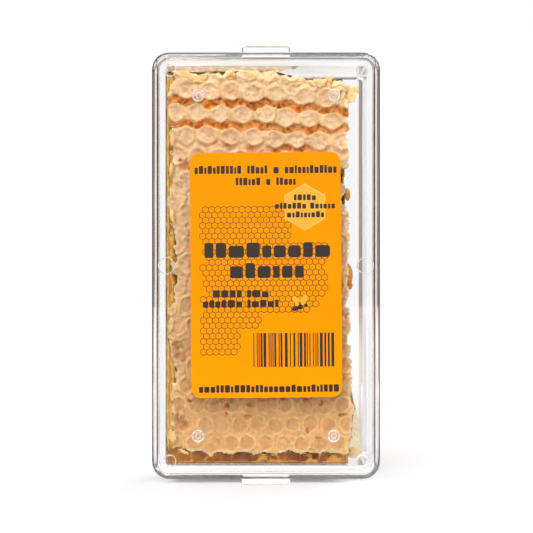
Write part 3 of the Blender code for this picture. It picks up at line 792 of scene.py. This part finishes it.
def beads():
    """Honey that has run out and set in drops and a smear beside and below the slab."""
    verts, faces, tints, wets = [], [], [], []
    drops = [
        (25.9, -2.6, -13.8, 1.5, 3.0, 0),
        (26.4, -6.2, -12.6, 0.9, 1.2, 0),
        (25.6, 22.5, -13.6, 1.0, 1.9, 0),
        (26.1, -44.0, -13.2, 1.2, 2.4, 0),
        (27.6, -59.2, -11.0, 2.2, 1.6, 1),
        (-30.0, 24.0, -13.4, 0.8, 3.2, 2),
        (-30.1, 11.0, -13.4, 0.7, 2.6, 2),
        (-30.0, -11.0, -13.4, 0.8, 3.6, 2),
        (-30.1, -40.0, -13.4, 0.7, 3.0, 2),
        (-29.9, 47.0, -13.4, 0.8, 4.0, 2),
    ]
    colours = (lin(214, 148, 62), lin(232, 206, 146), lin(236, 188, 84))
    nu, nv = 18, 12
    for k, (cx, cz, cy, rx, rz, kind) in enumerate(drops):
        start = len(verts)
        for i in range(nv + 1):
            theta = math.pi * i / nv
            for j in range(nu):
                phi = math.tau * j / nu
                n = 1 + 0.22 * fbm(np.array([2.2 * math.cos(phi) + k]), np.array([2.2 * math.sin(phi) + 3 * math.cos(theta)]), 1.1, 2, 410)[0]
                verts.append((
                    (cx + rx * n * math.sin(theta) * math.cos(phi)) * MM,
                    (cy + 0.55 * rx * n * math.sin(theta) * math.sin(phi)) * MM,
                    (cz + MID_Z + rz * n * math.cos(theta)) * MM,
                ))
                tints.append(colours[kind])
                wets.append(1.0)
        for i in range(nv):
            for j in range(nu):
                a, b = start + i * nu + j, start + i * nu + (j + 1) % nu
                faces.append((a, a + nu, b + nu, b))
    ob = make_piece("comb_honey_drops", verts, faces, np.array(tints), np.array(wets))
    ob.data.materials.append(COMB_MAT)
    return ob


def shreds():
    """Slivers of wax clinging about the slab's torn edges."""
    rng = np.random.default_rng(55)
    verts, faces, tints = [], [], []
    spots = [(26.2, -50.5, 3.0, 5.2, 46), (26.6, 56.0, 1.2, 1.0, 5), (13.0, 59.4, 9.0, 0.9, 26), (-14.0, 60.6, 14.0, 0.8, 34), (-28.3, -44.8, 1.6, 3.0, 14), (-24.5, -57.8, 3.2, 1.4, 10), (2.0, -58.6, 22.0, 0.8, 26), (25.8, 10.0, 0.5, 34.0, 40), (-29.4, 14.0, 0.5, 36.0, 34)]
    for cx, cz, sx, sz, count in spots:
        for _ in range(count):
            x, z = cx + rng.uniform(-sx, sx), cz + rng.uniform(-sz, sz)
            y = -15.2 + rng.uniform(0, 1.4)
            turn, length, width = rng.uniform(0, math.pi), rng.uniform(0.6, 1.9), rng.uniform(0.10, 0.26)
            dx, dz = math.cos(turn), math.sin(turn)
            start = len(verts)
            for t, w in ((-0.5, 0.35), (-0.15, 1.0), (0.2, 0.8), (0.5, 0.15)):
                bow = 0.25 * (0.25 - t * t) * length
                for side, lift in ((1, 0.0), (-1, 0.0), (-1, 0.12), (1, 0.12)):
                    verts.append((
                        (x + dx * t * length - dz * (bow + side * w * width / 2)) * MM,
                        (y + lift + 0.5 * t) * MM,
                        (z + MID_Z + dz * t * length + dx * (bow + side * w * width / 2)) * MM,
                    ))
                    tints.append(lin(246, 218, 168) if rng.random() < 0.7 else lin(226, 172, 100))
            for k in range(3):
                a = start + 4 * k
                for e in range(4):
                    faces.append((a + e, a + (e + 1) % 4, a + 4 + (e + 1) % 4, a + 4 + e))
            faces.append((start + 3, start + 2, start + 1, start))
            faces.append((start + 12, start + 13, start + 14, start + 15))
    ob = make_piece("comb_wax_shreds", verts, faces, np.array(tints), np.full(len(verts), 0.2), smooth=False)
    ob.data.materials.append(COMB_MAT)
    return ob


comb_parts = [
    torn_flap(),
    torn_leaves(),
    honey_film(),
    beads(),
    shreds(),
    front_crust,
    back_crust,
    open_face("comb_cells_front", front_cells, 3, True),
    open_face("comb_cells_back", back_cells, 77, False),
    cut_side("comb_cut_left", 101, "left"),
    cut_side("comb_cut_right", 102, "right"),
    cut_side("comb_cut_bottom", 103, "bottom"),
    cut_side("comb_cut_top", 104, "top"),
]
for ob in comb_parts:
    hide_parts("honeycomb")


# ---- box ----------------------------------------------------------------------------------------
for node, seed in (("box_base", 1), ("box_lid", 5)):
    ob = NODES[node]
    mat = plastic_material("clear_" + node, seed)
    for slot_ in ob.material_slots:
        slot_.material = mat
    if not ob.material_slots:
        ob.data.materials.append(mat)



def torus_rings(name, rings, mat):
    """Rounded rings lying upright, each (x, y, z, radius, thickness), millimetres."""
    verts, faces = [], []
    big, small = 32, 8
    for cx, cy, cz, radius, thick in rings:
        start = len(verts)
        for i in range(big):
            a = math.tau * i / big
            for j in range(small):
                b = math.tau * j / small
                r = radius + thick * math.cos(b)
                verts.append(((cx + r * math.cos(a)) * MM, (cy + thick * 0.6 * math.sin(b)) * MM, (cz + r * math.sin(a)) * MM))
        for i in range(big):
            for j in range(small):
                p, q = start + i * small, start + (i + 1) % big * small
                k = (j + 1) % small
                faces.append((p + j, q + j, q + k, p + k))
    ob = make_piece(name, verts, faces)
    ob.data.materials.append(mat)
    return ob


def frosted_highlight_material():
    """The moulded rims of studs and lugs: whitish, half clear rings, partly a frosted moulded surface and partly a
    painted highlight for the light these rims reflect.
    """
    mat, tree, shader = new_material("clear_moulded_rim_highlight")
    coords = tree.nodes.new("ShaderNodeTexCoord").outputs["Object"]
    cloud = add(tree, "ShaderNodeTexNoise", Scale=700.0, Detail=2.0)
    tree.links.new(coords, cloud.inputs["Vector"])
    rough = map_range(tree, cloud.outputs["Fac"], 0.3, 0.7, 0.18, 0.34)
    tree.links.new(rough, shader.inputs["Roughness"])
    colour = mix_colour(tree, cloud.outputs["Fac"], (0.86, 0.87, 0.90), (0.96, 0.96, 0.97))
    tree.links.new(colour, shader.inputs["Base Color"])
    shader.inputs["Transmission Weight"].default_value = 0.45
    shader.inputs["IOR"].default_value = 1.5
    return mat


FROST_HIGHLIGHT = frosted_highlight_material()
# whitish rings laid over the studs and lugs, partly frosted moulding and partly painted highlight
stud_rings, lug_rings = [], []
for sx in (1, -1):
    for sz in (1, -1):
        x, z = sx * 21.2, MID_Z + sz * 53.2
        stud_rings.append((x, FRONT - 0.28, z, 1.72, 0.25))
        stud_rings.append((x, FRONT - 0.12, z, 0.72, 0.17))
        x, z = sx * (35.7 - 5.6), MID_Z + sz * (66.8 - 5.6)
        lug_rings.append((x, FRONT + 1.75, z, 1.86, 0.13))
for sx in (1, -1):
    lug_rings.append((sx * (35.7 - 4.5), FRONT + 1.75, MID_Z, 2.5, 0.13))
torus_rings("lid_stud_rim_highlights", stud_rings, FROST_HIGHLIGHT)
torus_rings("base_lug_rim_highlights", lug_rings, FROST_HIGHLIGHT)

# ---- label --------------------------------------------------------------------------------------
paper = paper_material()
for slot_ in NODES["label"].material_slots:
    slot_.material = paper

LABEL_FACE = FRONT - 0.1 - 0.15
LABEL_MID = (0.0, MID_Z - 2.9)
TURN = math.radians(0.5)
INK = ink_material("print_dark", lin(38, 30, 24), lin(50, 38, 28))
PALE_INK = ink_material("print_pale", lin(254, 178, 40), lin(255, 184, 52))
LIGHT_INK = ink_material("print_cream", lin(255, 204, 110), lin(255, 210, 124))


def on_label(px, pz):
    """Label coordinates (right, up from its middle, millimetres) to the row frame."""
    c, s = math.cos(TURN), math.sin(TURN)
    return LABEL_MID[0] + px * c - pz * s, LABEL_MID[1] + px * s + pz * c


def print_piece(name, outlines, mat, lift=0.02):
    """Flat print: each outline is a convex or simple loop in label coordinates."""
    verts, faces = [], []
    y = LABEL_FACE - lift
    for loop in outlines:
        start = len(verts)
        for px, pz in loop:
            x, z = on_label(px, pz)
            verts.append((x * MM, y * MM, z * MM))
        faces.append(list(range(start, start + len(loop)))[::-1])
    mesh_ob = make_piece(name, verts, faces, smooth=False)
    mesh_ob.data.materials.append(mat)
    return mesh_ob


def pill(cx, cz, w, h, r=None, n=4):
    r = min(w, h) / 2 if r is None else r
    pts = []
    for k, (sx, sz) in enumerate(((1, 1), (-1, 1), (-1, -1), (1, -1))):
        for i in range(n + 1):
            a = math.pi / 2 * (k + i / n)
            pts.append(
                (cx + sx * (w / 2 - r) + r * math.cos(a), cz + sz * (h / 2 - r) + r * math.sin(a))
            )
    return pts


def hexagon(cx, cz, r):
    return [
        (cx + r * math.cos(math.pi / 6 + k * math.pi / 3), cz + r * math.sin(math.pi / 6 + k * math.pi / 3))
        for k in range(6)
    ]


def to_label(x, y):
    """From a layout with 3.2 units to a millimetre, its origin up and left of the pack and y running down, to label coordinates."""
    return (x - 266.0) / 3.2, (265.7 - y) / 3.2 + 2.9


def words(y, x0, x1, height, shares, gap, seed, pitch=4.4, slit=1.1):
    """A line of small plain blocks that stands where a line of print stood. shares are its words' widths."""
    rng = np.random.default_rng(seed)
    total = x1 - x0 - gap * (len(shares) - 1)
    out, x = [], x0
    for share in shares:
        w = total * share / sum(shares)
        count = max(1, round(w / pitch))
        cuts = np.cumsum(rng.uniform(0.7, 1.3, count))
        cuts = np.concatenate([[0], cuts / cuts[-1] * w])
        for c0, c1 in zip(cuts, cuts[1:]):
            tall = height * (1.0 if rng.random() < 0.45 else 0.8)
            cx, cz = to_label(x + (c0 + c1) / 2, y + (height - tall) / 2)
            wide = max(c1 - c0 - slit, 0.8)
            out.append(pill(cx, cz, wide / 3.2, tall / 3.2, r=min(wide, tall) / 3.2 * 0.22))
        x += w + gap
    return out


dark = []
dark += words(169.5, 195, 338, 8, (9, 4, 1.2, 10), 5, 1)
dark += words(181.3, 236, 297, 7.5, (5, 1, 4), 5, 2)
dark += words(250.0, 203.5, 331.5, 15, (1,), 0, 3, 13.5, 2.4)
dark += words(270.5, 229, 305, 15, (1,), 0, 4, 13.0, 2.4)
dark += words(293.6, 212, 269, 7.4, (4, 3), 4, 5, 7.0, 1.3)
dark += words(303.4, 202, 279, 7.4, (5, 4), 4, 6, 7.0, 1.3)
dark += words(388.5, 197.5, 338.5, 7.4, (1,), 0, 7, 5.0, 1.1)
badge_lines = words(197.6, 294, 317, 6, (1,), 0, 8)
badge_lines += words(206.0, 275, 336, 6, (5, 4), 3, 9)
badge_lines += words(214.7, 287, 325, 6, (1,), 0, 10)


def ellipse(cx, cz, rx, rz, turn=0.0, n=14):
    c, s_ = math.cos(turn), math.sin(turn)
    out = []
    for i in range(n):
        u, v = rx * math.cos(math.tau * i / n), rz * math.sin(math.tau * i / n)
        out.append((cx + u * c - v * s_, cz + u * s_ + v * c))
    return out


ix, iz = to_label(300, 306)
insect_wings = [ellipse(ix - 1.1, iz + 1.5, 2.0, 0.85, 2.2), ellipse(ix + 0.9, iz + 1.6, 2.0, 0.85, 1.0)]
insect_body = [ellipse(ix, iz - 0.4, 1.0, 0.75, 0.3), ellipse(ix + 1.75, iz + 0.1, 0.6, 0.55), ellipse(ix - 1.6, iz - 0.9, 1.05, 0.7, 0.35)]
insect_body += [
    [(ix + k * 0.8, iz - 0.9), (ix + k * 0.8 + 0.12, iz - 0.9), (ix + k * 1.3 + 0.12, iz - 2.1), (ix + k * 1.3, iz - 2.1)]
    for k in (-1, 0, 1)
]

# bars of many widths, as on any packet
bars, x = [], 252.8
rng = np.random.default_rng(12)
while x < 333.0:
    w = float(rng.choice([1.0, 1.9, 2.8], p=[0.45, 0.33, 0.22]))
    cx, cz = to_label(x + w / 2, 350.0)
    bars.append([(cx - w / 6.4, cz - 5.3), (cx + w / 6.4, cz - 5.3), (cx + w / 6.4, cz + 5.3), (cx - w / 6.4, cz + 5.3)])
    x += w + float(rng.choice([0.9, 1.6, 2.4], p=[0.55, 0.3, 0.15]))

# a plain field of outlined cells, cut off in its own stepped shape
PITCH = 1.9
grid, seen = [], set()
rows_n, cols_n = 28, 21
for r in range(rows_n):
    for c in range(cols_n):
        gx = -20.6 + (c + 0.5 * (r % 2)) * PITCH
        gz = 20.5 - r * PITCH * 0.866
        lo = -19.8
        hi = 7.5 if r < 7 else 19.6
        if r >= 7:
            hi = 19.6 - 1.1 * max(0, r - 15) - 0.9 * (r % 3)
        if r > 22:
            hi = -7.5 - 1.6 * (r % 2)
        if 7 <= r < 20:
            lo = -19.8 + 0.9 * ((r + 1) % 3)
        if not lo <= gx <= hi or (r > 19 and gx > -2.0):
            continue
        corner = hexagon(gx, gz, PITCH / math.sqrt(3))
        for k in range(6):
            a, b = corner[k], corner[(k + 1) % 6]
            key = tuple(sorted(((round(a[0], 2), round(a[1], 2)), (round(b[0], 2), round(b[1], 2)))))
            if key in seen:
                continue
            seen.add(key)
            dx, dz = b[0] - a[0], b[1] - a[1]
            n = math.hypot(dx, dz)
            ox, oz = -dz / n * 0.10, dx / n * 0.10
            grid.append(
                [(a[0] + ox, a[1] + oz), (b[0] + ox, b[1] + oz), (b[0] - ox, b[1] - oz), (a[0] - ox, a[1] - oz)][::-1]
            )

bx, bz = to_label(305.5, 207.4)
print_piece("print_cell_field", grid, INK, 0.010)
print_piece("print_badge", [hexagon(bx, bz, 7.3)], PALE_INK, 0.014)
ring = []
outer, inner = hexagon(bx, bz, 7.3), hexagon(bx, bz, 7.05)
for k in range(6):
    ring.append([outer[k], outer[(k + 1) % 6], inner[(k + 1) % 6], inner[k]])
print_piece("print_badge_edge", ring, LIGHT_INK, 0.018)
print_piece("print_lines", dark, INK, 0.022)
print_piece("print_badge_lines", badge_lines, INK, 0.024)
print_piece("print_bars", bars, INK, 0.022)
print_piece("print_insect_wings", insect_wings, PALE_INK, 0.020)
print_piece("print_insect_body", insect_body, INK, 0.026)

# ---- stage, lamps, camera -----------------------------------------------------------------------
FLOOR_TONE = (0.74, 0.77, 0.80)
ROOM = 0.42  # brightness of the room beside the white panels
ROOM_TINT = (1.0, 0.80, 0.70)


def stage_material(name, colour, glow=0.0):
    mat, tree, shader = new_material(name)
    shader.inputs["Base Color"].default_value = (*colour, 1)
    shader.inputs["Roughness"].default_value = 0.7
    shader.inputs["Specular IOR Level"].default_value = 0.0
    if glow:
        shader.inputs["Emission Color"].default_value = (1, 1, 1, 1)
        shader.inputs["Emission Strength"].default_value = glow
    return mat


def floor_material():
    """White floor, lit near the pack. Further off it glows as the room does: white behind the pack and to the camera, dim to either side."""
    mat = stage_material("floor_white", (0.93, 0.93, 0.93), 1.0)
    tree = mat.node_tree
    link = tree.links.new
    shader = tree.nodes["Principled BSDF"]

    def math_node(op, a, b=None, c=None):
        node = tree.nodes.new("ShaderNodeMath")
        node.operation = op
        for socket, value in zip(node.inputs, (a, b, c)):
            if isinstance(value, bpy.types.NodeSocket):
                link(value, socket)
            elif value is not None:
                socket.default_value = value
        return node.outputs[0]

    place = tree.nodes.new("ShaderNodeTexCoord").outputs["Object"]
    split = tree.nodes.new("ShaderNodeSeparateXYZ")
    link(place, split.inputs[0])
    away = tree.nodes.new("ShaderNodeVectorMath")
    away.operation = "LENGTH"
    link(place, away.inputs[0])
    far = map_range(tree, away.outputs["Value"], 0.11, 0.36, 0.0, 1.0)
    ax, ay = math_node("ABSOLUTE", split.outputs[0]), math_node("ABSOLUTE", split.outputs[1])
    lengthwise = math_node("LESS_THAN", math_node("MULTIPLY_ADD", ay, -0.11, ax), 0.05)
    sideways = math_node("LESS_THAN", math_node("MULTIPLY_ADD", ax, -0.11, ay), 0.05)
    strip = math_node("MAXIMUM", lengthwise, sideways)
    seen = tree.nodes.new("ShaderNodeLightPath").outputs["Is Camera Ray"]
    bright = math_node("MAXIMUM", strip, seen)
    level = math_node("MULTIPLY_ADD", bright, 1.0 - ROOM, ROOM)
    unseen = math_node("SUBTRACT", 1.0, seen)
    # painted light: under and just behind the pack, rays that are not the camera's find the floor glowing, which lifts
    # what the bottom rims refract
    ahead_of = map_range(tree, split.outputs[1], -0.045, -0.08, 0.0, 1.0)
    behind = math_node("SUBTRACT", 1.0, ahead_of)
    wide_of = map_range(tree, ax, 0.04, 0.10, 0.0, 1.0)
    below = math_node("MULTIPLY", behind, math_node("SUBTRACT", 1.0, wide_of))
    below = math_node("MULTIPLY", below, map_range(tree, split.outputs[1], 0.02, 0.07, 1.0, 0.0))
    near_glow = math_node("MULTIPLY", math_node("MULTIPLY", unseen, below), 0.8)
    lit = math_node("MULTIPLY", level, far)
    # painted shade: ahead of the pack along its length, rays that are not the camera's find the floor dark and hardly
    # glowing, so the lid's face mirrors no white floor
    in_front = math_node("MULTIPLY", unseen, ahead_of)
    in_front = math_node("MULTIPLY", in_front, lengthwise)
    lit = math_node("MULTIPLY", lit, math_node("MULTIPLY_ADD", in_front, -0.95, 1.0))
    link(math_node("MAXIMUM", lit, near_glow), shader.inputs["Emission Strength"])
    tone = mix_colour(tree, far, FLOOR_TONE, (0.02, 0.02, 0.02))
    beside = math_node("MULTIPLY", unseen, wide_of)
    tone = mix_colour(tree, beside, tone, (0.42, 0.37, 0.33))
    tone = mix_colour(tree, in_front, tone, (0.16, 0.15, 0.14))
    link(tone, shader.inputs["Base Color"])
    warm = mix_colour(tree, bright, ROOM_TINT, (1.0, 1.0, 1.0))
    link(warm, shader.inputs["Emission Color"])
    return mat


def floor():
    verts = [(2.4 * math.cos(k * math.tau / 48), 2.4 * math.sin(k * math.tau / 48), 0) for k in range(48)]
    mesh = bpy.data.meshes.new("floor")
    mesh.from_pydata(verts, [], [list(range(48))])
    ob = bpy.data.objects.new("floor", mesh)
    bpy.context.scene.collection.objects.link(ob)
    mesh.materials.append(floor_material())


floor()


def area(name, where, target, size, power):
    lamp = bpy.data.lights.new(name, "AREA")
    lamp.shape = "RECTANGLE"
    lamp.size, lamp.size_y = size
    lamp.energy = power
    ob = bpy.data.objects.new(name, lamp)
    bpy.context.scene.collection.objects.link(ob)
    ob.location = where
    ob.rotation_euler = (Vector(target) - Vector(where)).to_track_quat("-Z", "Y").to_euler()
    return ob


area("top_soft", (0.0, 0.05, 1.3), (0, 0.1, 0), (1.4, 1.2), 11.5)
area("left_soft", (-0.85, -0.75, 0.75), (0, 0, 0.06), (0.6, 0.9), 3.9)
area("right_soft", (0.85, -0.75, 0.75), (0, 0, 0.06), (0.6, 0.9), 2.9)
area("front_key", (-0.2, -0.7, 1.15), (0, 0, 0.08), (0.35, 0.35), 4.4)
area("front_fill", (0.0, -1.25, 0.56), (0, 0, 0.07), (1.0, 0.5), 4.4)
area("back_fill", (0.5, 0.95, 0.8), (0, 0, 0.07), (0.5, 0.5), 4.0)

world = bpy.data.worlds.new("room")
bpy.context.scene.world = world
world.use_nodes = True
sky = world.node_tree.nodes["Background"]
sky.inputs[0].default_value = (1, 1, 1, 1)
wt = world.node_tree


def wmath(op, a, b=None):
    node = wt.nodes.new("ShaderNodeMath")
    node.operation = op
    for socket, value in zip(node.inputs, (a, b)):
        if isinstance(value, bpy.types.NodeSocket):
            wt.links.new(value, socket)
        elif value is not None:
            socket.default_value = value
    return node.outputs[0]


# white panels stand on three sides of a dim room, left, right and behind the pack, and the camera itself sees white all
# round
way = wt.nodes.new("ShaderNodeSeparateXYZ")
wt.links.new(wt.nodes.new("ShaderNodeTexCoord").outputs["Generated"], way.inputs[0])
facing = wmath("MAXIMUM", wmath("ABSOLUTE", way.outputs[0]), wmath("ABSOLUTE", way.outputs[1]))
facing = wmath("DIVIDE", facing, wmath("SQRT", wmath("SUBTRACT", 1.0, wmath("MULTIPLY", way.outputs[2], way.outputs[2]))))
low = wmath("LESS_THAN", wmath("ABSOLUTE", way.outputs[2]), 0.30)
panel = wmath("MULTIPLY", wmath("GREATER_THAN", facing, 0.991), low)
behind = wmath("GREATER_THAN", way.outputs[1], -0.5)
panel = wmath("MULTIPLY", panel, behind)
seen = wt.nodes.new("ShaderNodeLightPath").outputs["Is Camera Ray"]
bright = wmath("MAXIMUM", panel, seen)
room = wmath("MULTIPLY_ADD", bright, 1.0 - ROOM)
room.node.inputs[2].default_value = ROOM
# straight behind the camera it is dark, so the lid's face doesn't mirror the room
ahead = wmath("MULTIPLY", wmath("LESS_THAN", way.outputs[1], -0.94), wmath("SUBTRACT", 1.0, seen))
room = wmath("MULTIPLY", room, wmath("SUBTRACT", 1.0, wmath("MULTIPLY", ahead, 0.94)))
rear = wmath("MULTIPLY", wmath("MULTIPLY", panel, wmath("GREATER_THAN", way.outputs[1], 0.9)), wmath("SUBTRACT", 1.0, seen))
gain = wmath("MULTIPLY_ADD", rear, 0.10)
gain.node.inputs[2].default_value = 1.0
room = wmath("MULTIPLY", room, gain)
wt.links.new(room, sky.inputs[1])
wt.links.new(mix_colour(wt, bright, ROOM_TINT, (1.0, 1.0, 1.0)), sky.inputs[0])

cam = bpy.data.cameras.new("camera")
cam.sensor_width = 36
DIST = 0.541
cam.lens = 36 * DIST / (533 / 3.2 * MM)
cam.clip_start = 0.01
cam_ob = bpy.data.objects.new("camera", cam)
cam_ob.location = (0.16 * MM, FRONT * MM - DIST, MID_Z * MM - 0.25 * MM)
cam_ob.rotation_euler = (math.pi / 2, 0, 0)
bpy.context.scene.collection.objects.link(cam_ob)
bpy.context.scene.camera = cam_ob

scene = bpy.context.scene
scene.view_settings.view_transform = "Standard"
scene.view_settings.look = "None"
scene.cycles.max_bounces = 24
scene.cycles.transmission_bounces = 20
scene.cycles.transparent_max_bounces = 24
